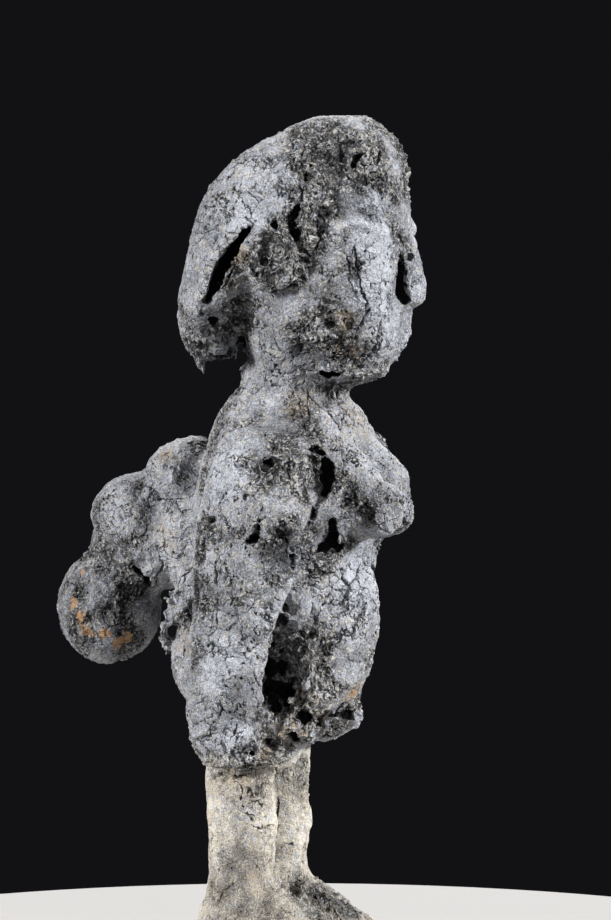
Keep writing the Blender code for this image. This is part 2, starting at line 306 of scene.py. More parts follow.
# Holes, along pixels of the view: each pixel with the half width there, then how deep, all in mm
holes = {
    "slit": (((250, 226, 0.7), (245, 231, 1.2), (239, 239, 2.0), (233, 248, 2.6), (228, 258, 2.4),
              (222, 268, 1.4),
              (216, 278, 1.3), (211, 290, 1.4), (206, 301, 0.8)), 4.5),
    "slitTeeth": (((236, 258, 0.7), (231, 266, 0.8), (226, 277, 0.6), (220, 288, 0.7)), 2.4),
    "underFlap": (((241, 336, 0.8), (240, 345, 1.2), (240, 356, 1.4)), 2),
    "flapTop": (((200, 314, 0.8),), 1.6),
    "flap": (((212, 320, 1.1), (215, 330, 0.9)), 1.8),
    "belowSlit": (((241, 290, 0.8),), 1.6),
    "besideNeck": (((235, 318, 0.7), (238, 326, 0.6)), 1.5),
    "crownCrack": (((303, 168, 0.6), (306, 177, 0.9), (304, 186, 0.5)), 2),
    "temple": (((302, 200, 0.4), (298, 207, 0.8), (293, 214, 1.2), (290, 221, 0.8), (294, 230, 0.9),
                (297, 238, 0.7), (299, 247, 0.4)), 3.0),
    "templeFront": (((313, 206, 0.4), (309, 216, 0.5), (311, 226, 0.4)), 1.4),
    "cheekCrack": (((307, 254, 0.4), (306, 263, 0.5), (310, 271, 0.6), (308, 280, 0.4), (312, 290, 0.6),
                    (315, 299, 0.6), (321, 306, 0.4)), 1.6),
    "overEar": (((269, 219, 0.6), (274, 224, 1.0), (275, 231, 0.7)), 3),
    "earTop": (((258, 238, 0.5), (264, 235, 0.7), (270, 237, 0.5)), 2),
    "earFront": (((279, 250, 0.7), (281, 256, 0.6)), 1.8),
    "earFrontLow": (((282, 268, 0.7), (281, 274, 0.8)), 1.8),
    "earFoot": (((264, 283, 0.6), (273, 286, 0.8), (280, 283, 0.5)), 2),
    "earMiddle": (((265, 256, 0.6), (264, 262, 0.8)), 1.8),
    "earBack": (((256, 243, 0.7), (253, 249, 0.5)), 1.8),
    "earInner": (((273, 264, 0.6), (272, 269, 0.5)), 1.5),
    "crown": (((346, 169, 0.6), (352, 166, 0.9), (356, 159, 0.8), (361, 155, 1.0), (368, 153, 0.6)), 2.4),
    "crownFoot": (((364, 167, 0.5), (370, 164, 0.7), (374, 159, 0.4)), 1.6),
    "crownFront": (((379, 147, 0.7), (380, 155, 0.9), (377, 162, 0.6)), 2.2),
    "crownBack": (((287, 137, 0.6),), 1.2),
    "crownMiddle": (((317, 127, 0.8), (324, 131, 0.6)), 1.6),
    "crownEdge": (((346, 127, 0.8), (352, 129, 0.5)), 1.5),
    "crownSide": (((375, 136, 0.7),), 1.4),
    "underBrow": (((338, 219, 0.5), (347, 218, 0.6)), 1.2),
    "browEnd": (((385, 226, 0.8),), 1.4),
    "noseRoot": (((398, 236, 0.7), (400, 244, 0.6)), 1.4),
    "nostril": (((402, 252, 0.8), (401, 265, 1.2), (402, 280, 1.3), (399, 290, 1.4), (406, 300, 1.4)), 3),
    "mouthEdge": (((368, 303, 0.5), (370, 310, 0.9), (366, 318, 0.5), (362, 328, 0.4)), 1.6),
    "mouthPit": (((332, 325, 0.9),), 1.6),
    "mouthCrack": (((344, 329, 0.5), (349, 326, 0.7)), 1.2),
    "jawPit": (((313, 341, 0.7),), 1.4),
    "jaw": (((300, 351, 1.0),), 1.4),
    "underJaw": (((321, 373, 0.8), (328, 376, 1.4), (336, 375, 1.2), (340, 378, 0.7)), 3),
    "shoulder": (((275, 457, 0.5), (268, 462, 1.0), (262, 468, 0.7)), 2),
    "shoulderStar": (((260, 484, 0.5), (266, 479, 0.7), (272, 482, 0.5)), 1.5),
    "shoulderPit": (((268, 474, 0.6),), 1.4),
    "armpit": (((311, 449, 0.5), (318, 448, 0.8), (325, 455, 1.5), (327, 466, 1.9), (328, 477, 2.1),
                (326, 487, 1.5),
                (322, 494, 0.8)), 3.6),
    "armpitBack": (((305, 467, 0.4), (310, 473, 0.6), (316, 476, 0.4)), 1.4),
    "armpitFoot": (((318, 500, 0.8), (316, 508, 1.1), (315, 517, 0.8), (311, 528, 0.6)), 2.6),
    "underBreast": (((333, 519, 0.6), (334, 529, 1.1), (332, 539, 1.5), (325, 547, 1.3),
                     (318, 551, 0.8)), 3),
    "underBreastFront": (((334, 547, 1.3), (342, 548, 0.9), (343, 541, 0.6), (340, 534, 0.5)), 2.5),
    "breastEdge": (((374, 545, 0.5), (380, 543, 0.6)), 1),
    "upperArm": (((260, 517, 0.4), (257, 527, 0.7), (256, 537, 1.1), (249, 542, 0.8),
                  (239, 544, 0.5)), 2.2),
    "armSeamTop": (((215, 518, 0.8), (208, 523, 0.5)), 1.2),
    "armSeam": (((198, 547, 0.8), (198, 557, 0.6)), 1.2),
    "elbow": (((293, 551, 0.5), (294, 560, 0.8), (294, 570, 0.9), (290, 578, 0.7), (282, 583, 0.6),
               (274, 592, 0.5)), 2),
    "elbowFront": (((302, 560, 0.4), (299, 570, 0.5), (303, 580, 0.4)), 1.2),
    "elbowPit": (((241, 590, 1.0),), 1.5),
    "elbowInner": (((298, 591, 0.5), (292, 602, 0.5), (290, 614, 0.9), (284, 621, 1.3),
                    (277, 628, 0.9)), 2.5),
    "waist": (((314, 580, 0.4), (310, 592, 0.5), (304, 605, 0.6), (300, 618, 0.5)), 1.2),
    "waistBranch": (((309, 608, 0.7), (316, 611, 0.5)), 1.2),
    "bellyPit": (((316, 682, 0.6), (320, 688, 0.9), (327, 692, 0.8)), 1.6),
    "forearmCrack": (((232, 665, 0.5), (229, 677, 0.6)), 1),
    "handPits": (((224, 746, 0.8), (225, 751, 0.6)), 1.6),
    "handFoot": (((207, 763, 0.9),), 1.8),
    "handHeel": (((254, 741, 0.7), (254, 748, 0.6)), 1.6),
    "handUnder": (((243, 761, 0.8),), 1.4),
    "bellyEdge": (((348, 703, 0.8), (341, 709, 1.0), (334, 715, 1.1), (326, 722, 0.9),
                   (318, 727, 0.7)), 2.6),
    "hollowCrack": (((313, 660, 0.5), (309, 672, 0.7), (304, 684, 0.6)), 1.6),
    "hipHole": (((300, 716, 1.4), (306, 717, 1.9)), 3.6),
    "groinHole": (((293, 734, 1.4), (297, 740, 1.4)), 3.2),
    "groinPits": (((268, 741, 0.7), (274, 747, 0.8), (282, 744, 0.5)), 1.8),
    "hipPit": (((283, 724, 0.7), (279, 731, 0.5)), 1.6),
    "thighPit": (((306, 758, 0.9), (308, 765, 0.7)), 1.6),
    "farHandPit": (((335, 731, 0.7),), 1.2),
    "farHandEdge": (((347, 706, 0.7),), 1.4),
    "loadNotch": (((138, 479, 0.7), (142, 483, 0.6)), 1.4),
    "loadTop": (((202, 443, 0.9),), 1.6),
    "loadValley": (((176, 468, 0.8),), 1.4),
    "loadSide": (((146, 519, 0.6),), 1),
    "ballRoot": (((101, 541, 0.8),), 1.4),
    "ballTop": (((96, 557, 0.7),), 1.2),
    "ballNeck": (((128, 565, 0.8), (137, 573, 1.1), (146, 578, 1.2), (147, 588, 0.8)), 2),
    "legTopBack": (((229, 771, 0.9), (234, 769, 0.6)), 1.6),
    "legTop": (((241, 770, 0.9), (248, 769, 0.8), (253, 764, 0.6)), 1.8),
    "legTopFront": (((250, 756, 0.9), (256, 753, 0.6)), 1.6),
    "legPitOne": (((257, 790, 0.8), (258, 796, 0.7)), 1.2),
    "legPitTwo": (((252, 818, 0.9), (254, 823, 0.7)), 1.3),
    "legPitThree": (((262, 828, 0.8),), 1.1),
    "ankleNotch": (((256, 866, 0.35), (258, 871, 0.6)), 1.1),
    "footPitOne": (((240, 881, 0.55),), 0.9),
    "footPitTwo": (((219, 900, 0.5),), 0.8),
}
drilling = {
    "wide": 0.78,
    "step": 0.45,  # mm between the balls that eat a hole
    "deeper": 1.4,  # of the step, between the balls on the way in
    "above": 0.8,
    "sway": 0.45,  # of the half width
    "swell": 0.4,
    "foot": 0.5,
    "grain": 0.35,
    "fray": (1.5, 2.2),  # size of the bends in a hole's walls, how far they go
    "seed": 11,
    "onHerLeft": 0.65,  # how many of the holes her other side has
    "astray": 2.5,  # mm
    "crumbSunk": (0.1, 0.5),  # of its radius
    "clumpSpread": 0.45,
}

# Crumbs stuck on the crust: around a pixel, within so many pixels, how many, and from which radius to
# which in mm
crumbs = {
    "hollow": (288, 640, 20, 90, (0.8, 2.0)),
    "hollowMiddle": (296, 672, 18, 90, (0.8, 1.9)),
    "bellySide": (314, 650, 20, 80, (0.6, 1.5)),
    "slit": (236, 262, 8, 20, (0.5, 1.1)),
    "slitFoot": (222, 290, 7, 18, (0.5, 1.1)),
    "underJawEdge": (328, 366, 9, 16, (0.4, 0.9)),
    "faceCrack": (359, 285, 14, 20, (0.4, 0.8)),
    "foreheadEdge": (300, 220, 12, 16, (0.5, 1.0)),
    "handUnder": (222, 768, 26, 30, (0.5, 1.1)),
    "behindEar": (242, 262, 9, 16, (0.5, 1.0)),
    "leg": (256, 800, 16, 26, (0.5, 0.8)),
    "hollowFoot": (284, 704, 14, 40, (0.6, 1.6)),
    "hip": (303, 724, 18, 60, (0.5, 1.3)),
    "groin": (272, 740, 13, 70, (0.6, 1.4)),
    "bellyFoot": (328, 706, 14, 10, (0.5, 1.0)),
    "handEnd": (228, 762, 28, 22, (0.5, 1.2)),
    "handHeel": (262, 752, 12, 14, (0.5, 1.1)),
    "legTop": (248, 776, 16, 14, (0.4, 0.9)),
    "flapFoot": (208, 350, 14, 16, (0.6, 1.3)),
    "underJaw": (362, 374, 20, 14, (0.5, 1.0)),
    "ear": (269, 259, 12, 50, (0.5, 1.0)),
    "temple": (310, 215, 14, 30, (0.5, 1.2)),
    "crown": (356, 155, 24, 50, (0.6, 1.2)),
    "armpit": (305, 470, 16, 12, (0.5, 1.1)),
    "underBreast": (338, 560, 12, 8, (0.5, 1.0)),
    "breastFoot": (385, 540, 12, 8, (0.4, 0.9)),
    "ballNeck": (138, 572, 14, 14, (0.6, 1.2)),
    "farFoot": (322, 893, 22, 34, (0.6, 1.3)),
    "farToes": (350, 908, 16, 20, (0.6, 1.3)),
    "farThigh": (300, 762, 10, 8, (0.5, 1.0)),
    "cheek": (342, 345, 18, 12, (0.4, 0.9)),
}

# Clumps of such crumbs that stand out from the carving: middle, half sizes, how many, and sizes, in mm
clumps = {
    "gapTop": ((-16.0, 29.6, 114.0), (3.2, 3.2, 2.6), 26, (0.7, 1.5)),
    "gapMiddle": ((-17.0, 30.4, 109.4), (2.6, 3.0, 3.2), 26, (0.6, 1.4)),
    "gapStrand": ((-17.5, 32.6, 105.0), (1.6, 1.6, 3.6), 20, (0.6, 1.2)),
    "gapFoot": ((-18.0, 32.2, 100.4), (1.4, 1.5, 2.8), 14, (0.5, 1.0)),
    "armpitEdge": ((-29.0, -18.6, 155.0), (3.0, 1.8, 4.5), 34, (0.7, 1.4)),
    "hollowFront": ((-18.0, -14.0, 97.0), (2.6, 3.0, 10.0), 110, (0.7, 1.7)),
    "hollowTop": ((-22.0, -9.6, 108.0), (3.0, 3.2, 4.5), 60, (0.7, 1.5)),
    "elbow": ((-26.4, -13.8, 112.6), (2.6, 2.8, 5.0), 70, (0.6, 1.5)),
    "hollowFoot": ((-17.0, -11.5, 85.5), (3.0, 3.2, 3.0), 40, (0.7, 1.5)),
}

# Small forms, in mm: middle, half sizes, turn in degrees about X, Y and Z. A ring has its radius, its
# thickness and how much taller than wide it is
lumps = {
    "earRimRight": ("ring", (-25.9, -5.0, 216.8), (7.6, 1.7, 1.12), (0, 90, 8)),
    "earRimLeft": ("ring", (25.5, -1.9, 217.2), (6.2, 1.3, 1.45), (0, 90, 8)),
    "eyeRight": ("ball", (-5.6, -35.6, 220.6), (4.6, 2.4, 3.0), (0, 0, 8)),
    "eyeLeft": ("ball", (14.2, -32.8, 220.6), (4.6, 2.4, 3.0), (0, 0, 8)),
    "breastRight": ("ball", (-9.5, -32.6, 143.0), (8.0, 8.3, 8.5), (0, 0, 0)),
    "upperLip": ("ball", (4.9, -34.4, 196.8), (5.6, 1.8, 1.5), (0, 0, 8)),
    "lowerLip": ("ball", (4.8, -33.6, 193.4), (4.8, 1.8, 1.5), (0, 0, 8)),
    "flapSide": ("ball", (-17.5, 15.4, 192.3), (4.6, 3.9, 5.0), (-15, 0, 0)),
    "flapTip": ("ball", (-14, 22.5, 186.0), (3.2, 2.0, 3.4), (-15, 0, 0)),
    "flapTooth": ("ball", (-15, 21.0, 183.6), (1.3, 0.9, 2.4), (-10, 0, 0)),
    "strandTop": ("ball", (-11, 11.8, 188.4), (0.7, 0.6, 2.6), (18, 0, 0)),
    "strandFoot": ("ball", (-11, 9.7, 184.8), (0.7, 0.6, 2.6), (38, 0, 0)),
    "hollowSide": ("ball", (-12.0, -13.0, 102.0), (9.0, 6.6, 14.0), (0, 0, 0)),
    "elbowFill": ("ball", (-23.4, -13.4, 114.8), (4.2, 3.6, 6.2), (0, 0, 0)),
    "hollowTop": ("ball", (-14.0, -9.0, 113.0), (5.5, 5.0, 6.0), (0, 0, 0)),
    "slitLip": ("ball", (-26.4, 15.9, 212.0), (1.2, 1.1, 2.6), (-28, 0, 0)),
    "buttockTop": ("ball", (-14.5, 26.6, 111.6), (5.0, 4.2, 5.8), (0, 0, 0)),
}


def addLump(kind, middle, halves, turned):
    clearSelection()
    place = Vector(middle) * mm
    angles = [math.radians(a) for a in turned]
    if kind == "ring":
        radius, thick, taller = halves
        bpy.ops.mesh.primitive_torus_add(
            major_radius=radius * mm, minor_radius=thick * mm,
            major_segments=40, minor_segments=16, location=place, rotation=angles)
        bpy.context.object.scale = (taller, 1, 1)
    else:
        bpy.ops.mesh.primitive_ico_sphere_add(subdivisions=4, radius=1, location=place, rotation=angles)
        bpy.context.object.scale = Vector(halves) * mm
    bpy.ops.object.transform_apply(location=True, rotation=True, scale=True)
    return bpy.context.object


def holeBalls(marks, deep):
    balls = []
    for (start, out, wide), (end, outEnd, wideEnd) in zip(marks, marks[1:] or marks):
        steps = max(1, round((end - start).length / mm / drilling["step"]))
        for i in range(steps + 1):
            share = i / steps
            inward = -(out.lerp(outEnd, share) + viewBackOf(start)).normalized()
            mouth = (wide + (wideEnd - wide) * share) * drilling["wide"]
            depth = -drilling["above"]
            while depth < deep:
                narrow = 1 - (1 - drilling["foot"]) * max(depth, 0) / deep
                radius = mouth * narrow * (1 + drilling["swell"] * random.uniform(-1, 1))
                sway = Vector([random.uniform(-1, 1) for axis in range(3)]) * mouth * drilling["sway"] * mm
                balls.append((start.lerp(end, share) + inward * depth * mm + sway, radius))
                depth += drilling["step"] * drilling["deeper"]
    return balls


def viewBackOf(point):
    return viewBack if point.x < 0 else mirrored(viewBack)


def ballsMesh(name, balls):
    mesh = bpy.data.meshes.new(name)
    mesh.from_pydata([tuple(place) for place, radius in balls], [], [])
    thing = bpy.data.objects.new(name, mesh)
    storeValues(thing, "ballSize", [radius * mm for place, radius in balls])
    bpy.context.scene.collection.objects.link(thing)

    geometry, end = geometryTree(name)
    points = put("GeometryNodeMeshToPoints")
    volume = put("GeometryNodePointsToVolume", resolution_mode="VOXEL_SIZE")
    volume.inputs["Voxel Size"].default_value = drilling["grain"] * mm
    join(storedValue("ballSize"), volume.inputs["Radius"])
    moved = put("GeometryNodeSetPosition")
    place = put("GeometryNodeInputPosition").outputs[0]
    join(strayed(place, *[length * mm for length in drilling["fray"]]), moved.inputs["Position"])
    for step in (points, volume, put("GeometryNodeVolumeToMesh"), moved):
        join(geometry, step.inputs[0])
        geometry = step.outputs[0]
    join(geometry, end)
    applied(thing, "NODES", node_group=bench["tree"])
    return thing


def holeMarks(pixels):
    return [(*behindPixel(x, y), wide) for x, y, wide in pixels]


def leftMarks(marks):
    astray = Vector([random.uniform(-1, 1) for axis in range(3)]) * drilling["astray"] * mm
    return [(onHerLeft(place + astray), mirrored(out), wide) for place, out, wide in marks]


def drillHoles(thing):
    balls = []
    for pixels, deep in holes.values():
        marks = holeMarks(pixels)
        balls += holeBalls(marks, deep)
        if random.random() < drilling["onHerLeft"]:
            balls += holeBalls(leftMarks(marks), deep)
    drill = ballsMesh("drill", balls)
    applied(thing, "BOOLEAN", operation="DIFFERENCE", solver="MANIFOLD", object=drill)
    bpy.data.objects.remove(drill)
    print("holes drilled:", len(balls), "balls,", len(thing.data.vertices), "points")


def scatterCrumbs():
    balls = []
    for x, y, reach, many, (small, big) in crumbs.values():
        for crumb in range(many):
            away, turned = reach * math.sqrt(random.random()), random.uniform(0, 2 * math.pi)
            place, out = behindPixel(x + away * math.cos(turned), y + away * math.sin(turned))
            radius = random.uniform(small, big)
            balls.append((place - out * radius * random.uniform(*drilling["crumbSunk"]) * mm, radius))
            if random.random() < drilling["onHerLeft"]:
                balls.append((onHerLeft(place), radius))
    for middle, halves, many, (small, big) in clumps.values():
        for crumb in range(many):
            away = Vector([random.gauss(0, drilling["clumpSpread"]) for axis in range(3)])
            place = Vector([start + half * share for start, half, share in zip(middle, halves, away)])
            balls.append((place * mm, random.uniform(small, big)))
    return ballsMesh("crumbs", balls)


def growTogether(thing, added):
    clearSelection()
    for lump in added:
        lump.select_set(True)
    thing.select_set(True)
    bpy.context.view_layer.objects.active = thing
    bpy.ops.object.join()
    remesh(thing)


def remesh(thing):
    makeActive(thing)
    thing.data.remesh_voxel_size = carving["grain"] * mm
    thing.data.remesh_voxel_adaptivity = 0
    bpy.ops.object.voxel_remesh()


def makeSkin(solid):
    skin = solid.copy()
    skin.data = solid.data.copy()
    skin.name = "crusted_figure"
    bpy.context.scene.collection.objects.link(skin)
    random.seed(drilling["seed"])
    growTogether(skin, [addLump(*lump) for lump in lumps.values()] + [scatterCrumbs()])
    drillHoles(skin)
    remesh(skin)
    applied(skin, "SMOOTH", factor=0.5, iterations=carving["soften"])
    return skin


skin = makeSkin(solid)
print("skin:", len(skin.data.vertices), "points")

# Where the crust changes. Each mark lies on the carving behind a pixel of the 611 x 920 view, and a
# mirrored one stands for it on her left. Radius in mm, then how much.
crustMarks = {
    "pitted": {
        "headTop": [(318, 130, 9, 0.9), (345, 145, 9, 1), (372, 150, 9, 1), (356, 165, 8, 0.9),
                    (300, 160, 8, 0.6)],
        "templeAndEar": [(308, 190, 8, 0.6), (270, 258, 6.5, 1), (285, 235, 6, 0.8), (272, 225, 4, 0.9),
                         (312, 225, 7, 0.7)],
        "slit": [(236, 262, 4, 0.8), (224, 285, 4, 0.8), (232, 305, 5, 0.8), (236, 330, 5, 0.7),
                 (210, 345, 5, 0.7)],
        "face": [(360, 280, 4, 0.5), (362, 315, 4, 0.6), (398, 290, 3, 0.6), (385, 365, 5, 0.6)],
        "cheek": [(335, 325, 9, 0.7), (315, 340, 6, 0.5)],
        "chest": [(300, 470, 12, 0.8), (266, 474, 6, 0.6), (325, 560, 7, 0.5)],
        "armSeam": [(205, 530, 4, 0.6), (198, 555, 3.5, 0.9), (197, 580, 3, 0.7)],
        "hip": [(300, 715, 8, 0.9), (290, 740, 6, 0.9), (320, 690, 7, 0.8), (270, 748, 6, 0.9)],
        "hollow": [(284, 640, 10, 1), (290, 668, 11, 1), (284, 694, 9, 1), (312, 640, 7, 0.6),
                   (316, 665, 6, 0.5)],
        "leg": [(256, 800, 7, 0.5), (250, 770, 7, 0.8), (302, 772, 6, 0.7), (262, 835, 4, 0.4)],
        "handEnd": [(250, 760, 6, 1), (225, 770, 5, 0.9), (200, 760, 5, 0.5), (262, 742, 5, 0.8)],
        "ball": [(132, 575, 7, 1), (100, 560, 8, 0.5), (130, 650, 7, 0.7)],
        "farFoot": [(300, 884, 6, 0.8), (322, 892, 8, 1), (348, 905, 8, 1)],
        "load": [(195, 450, 4, 0.5), (140, 482, 2.5, 1), (100, 540, 4, 0.8)],
    },
    "cracked": {
        "belly": [(355, 600, 16, 1), (330, 580, 10, 0.9)],
        "hand": [(212, 730, 12, 0.7), (235, 690, 10, 0.4)],
        "forearm": [(225, 640, 16, 0.4), (240, 600, 10, 0.3)],
        "face": [(375, 270, 14, 0.4), (385, 340, 9, 0.5)],
        "loadSide": [(165, 580, 9, 0.6), (180, 560, 9, 0.4)],
        "breast": [(390, 520, 8, 0.7), (345, 410, 9, 0.5)],
        "cap": [(225, 200, 20, 0.6), (270, 180, 12, 0.4)],
        "neck": [(290, 370, 12, 0.5), (255, 330, 8, 0.4)],
        "arm": [(225, 480, 12, 0.4), (205, 560, 10, 0.4)],
        "load": [(165, 500, 14, 0.4)],
    },
    # Partly darker crust, partly painted shade: the far hand under the belly, the flap's side, the chest and
    # armpit hollows and the tops of the feet are darkened as painted shade
    "darkAndShade": {
        "headTop": [(336, 155, 8, 0.6), (354, 200, 8, 0.8), (335, 190, 6, 0.4)],
        "cheek": [(350, 350, 10, 0.6), (345, 285, 8, 0.4)],
        "jaw": [(300, 355, 5, 0.5), (210, 325, 7, 0.9)],
        "chest": [(285, 425, 12, 0.6), (362, 500, 8, 0.6), (285, 545, 8, 0.8), (330, 530, 8, 0.7)],
        "belly": [(304, 628, 7, 0.4), (278, 690, 6, 0.5)],
        "forearm": [(240, 700, 10, 0.5), (250, 640, 8, 0.3), (232, 612, 7, 0.3)],
        "ball": [(110, 600, 14, 0.5), (130, 640, 10, 0.5), (120, 598, 8, 0.8)],
        "load": [(188, 475, 4, 0.5)],
        "face": [(340, 300, 12, 0.5), (335, 255, 7, 0.5), (322, 215, 6, 0.5)],
        "armpit": [(280, 550, 9, 0.9), (270, 470, 7, 0.4), (318, 470, 7, 0.6)],
        "flap": [(208, 318, 5, 0.9), (240, 350, 3, 0.5)],
        "leg": [(242, 850, 6, 0.35), (278, 850, 3, 0.7)],
        "foot": [(235, 900, 14, 0.8), (265, 910, 10, 0.7)],
        "farLeg": [(298, 790, 6, 0.35), (300, 860, 4, 0.4)],
        "farFoot": [(300, 886, 5, 0.4), (322, 895, 6, 0.5), (345, 907, 6, 0.5)],
        "farHand": [(325, 733, 5, 0.9), (335, 738, 4, 0.8)],
    },
    "tan": {
        "slit": [(240, 255, 5, 0.9), (232, 285, 4, 0.6)],
        "cheek": [(345, 320, 5, 0.8), (352, 352, 6, 0.5)],
        "neck": [(300, 400, 8, 0.6), (360, 420, 12, 0.6)],
        "groin": [(265, 750, 7, 0.6), (290, 730, 7, 0.7), (310, 700, 7, 0.5), (330, 715, 7, 0.5)],
        "buttock": [(182, 640, 8, 0.6), (170, 600, 5, 1)],
        "load": [(165, 455, 5, 0.8), (163, 530, 6, 0.6), (170, 545, 4, 0.7)],
        "farHand": [(353, 695, 6, 1)],
        "leg": [(209, 815, 5, 0.7), (212, 790, 4, 0.6), (255, 882, 6, 0.7), (240, 776, 8, 0.6)],
    },
    "bare": {
        "ball": [(72, 603, 2.3, 1), (79, 617, 2.3, 1), (86, 632, 2.5, 1), (103, 634, 2.6, 1),
                 (119, 644, 2.7, 1), (129, 638, 2.3, 1), (81, 571, 1.5, 0.9)],
        "farHand": [(355, 693, 2.6, 0.7)],
    },
    # Painted shade: black in the deep hollows, the slit, the armpit, under the breast and jaw, in the
    # nostril and on the flap
    "blackAndShade": {
        "slit": [(245, 231, 2, 1), (238, 240, 2.6, 1), (231, 250, 3.2, 1), (225, 262, 3.2, 1),
                 (219, 275, 3, 1), (213, 288, 3, 1), (207, 299, 2, 1)],
        "armpit": [(325, 456, 2.2, 1), (329, 466, 2.6, 1), (330, 477, 2.8, 1), (326, 488, 2.2, 1),
                   (316, 504, 1.6, 1), (315, 515, 1.6, 1)],
        "underBreast": [(333, 532, 1.8, 1), (333, 542, 2.4, 1), (325, 547, 1.8, 1)],
        "hollow": [(270, 668, 3.4, 1), (282, 668, 2.8, 0.9), (271, 688, 3.6, 1), (285, 690, 3.6, 1),
                   (274, 704, 3, 1), (288, 702, 2.4, 0.9), (272, 642, 2.4, 0.8), (284, 650, 2.2, 0.7),
                   (283, 630, 2, 0.8)],
        "nostril": [(402, 258, 1.8, 1), (401, 270, 2.2, 1), (401, 284, 2.2, 1), (405, 300, 1.8, 0.9)],
        "underJaw": [(330, 376, 1.8, 1)],
        "flap": [(214, 322, 2, 0.8), (240, 352, 2, 0.8)],
    },
    "even": {
        "cap": [(225, 200, 17, 1), (205, 250, 9, 1), (250, 165, 13, 0.9), (280, 190, 8, 0.6)],
        "neck": [(268, 365, 12, 0.8), (235, 300, 6, 0.4)],
        "face": [(378, 250, 10, 0.9), (380, 300, 12, 0.8), (388, 345, 8, 0.6)],
        "chest": [(385, 450, 12, 0.9), (360, 410, 8, 0.7), (395, 505, 7, 0.7), (232, 455, 10, 0.6)],
        "arm": [(225, 480, 12, 0.7), (225, 565, 9, 0.7), (230, 640, 12, 0.6), (225, 700, 12, 0.6)],
        "belly": [(355, 600, 14, 0.9), (350, 640, 9, 0.4)],
        "load": [(135, 500, 14, 1), (170, 520, 14, 1), (172, 565, 12, 1), (165, 455, 9, 0.9)],
        "buttock": [(186, 650, 9, 0.9), (190, 700, 8, 0.6)],
        "leg": [(225, 820, 9, 1), (235, 860, 9, 0.8), (292, 830, 8, 0.7)],
    },
    # Glossier crust with painted sheen: a lighter tone, painted glints and a cooler cast in the colour, with
    # less roughness and more specular
    "glossAndSheen": {
        "face": [(375, 245, 9, 1), (378, 290, 11, 0.9), (392, 330, 8, 0.7)],
        "head": [(370, 210, 8, 0.8), (250, 215, 8, 0.6), (280, 180, 7, 0.4)],
        "nose": [(418, 285, 5, 1)],
        "body": [(225, 480, 9, 0.6), (300, 560, 8, 0.6), (362, 580, 12, 1), (400, 510, 7, 0.6)],
        "forearm": [(270, 620, 6, 0.5), (225, 660, 10, 0.5), (235, 745, 8, 0.6)],
    },
}

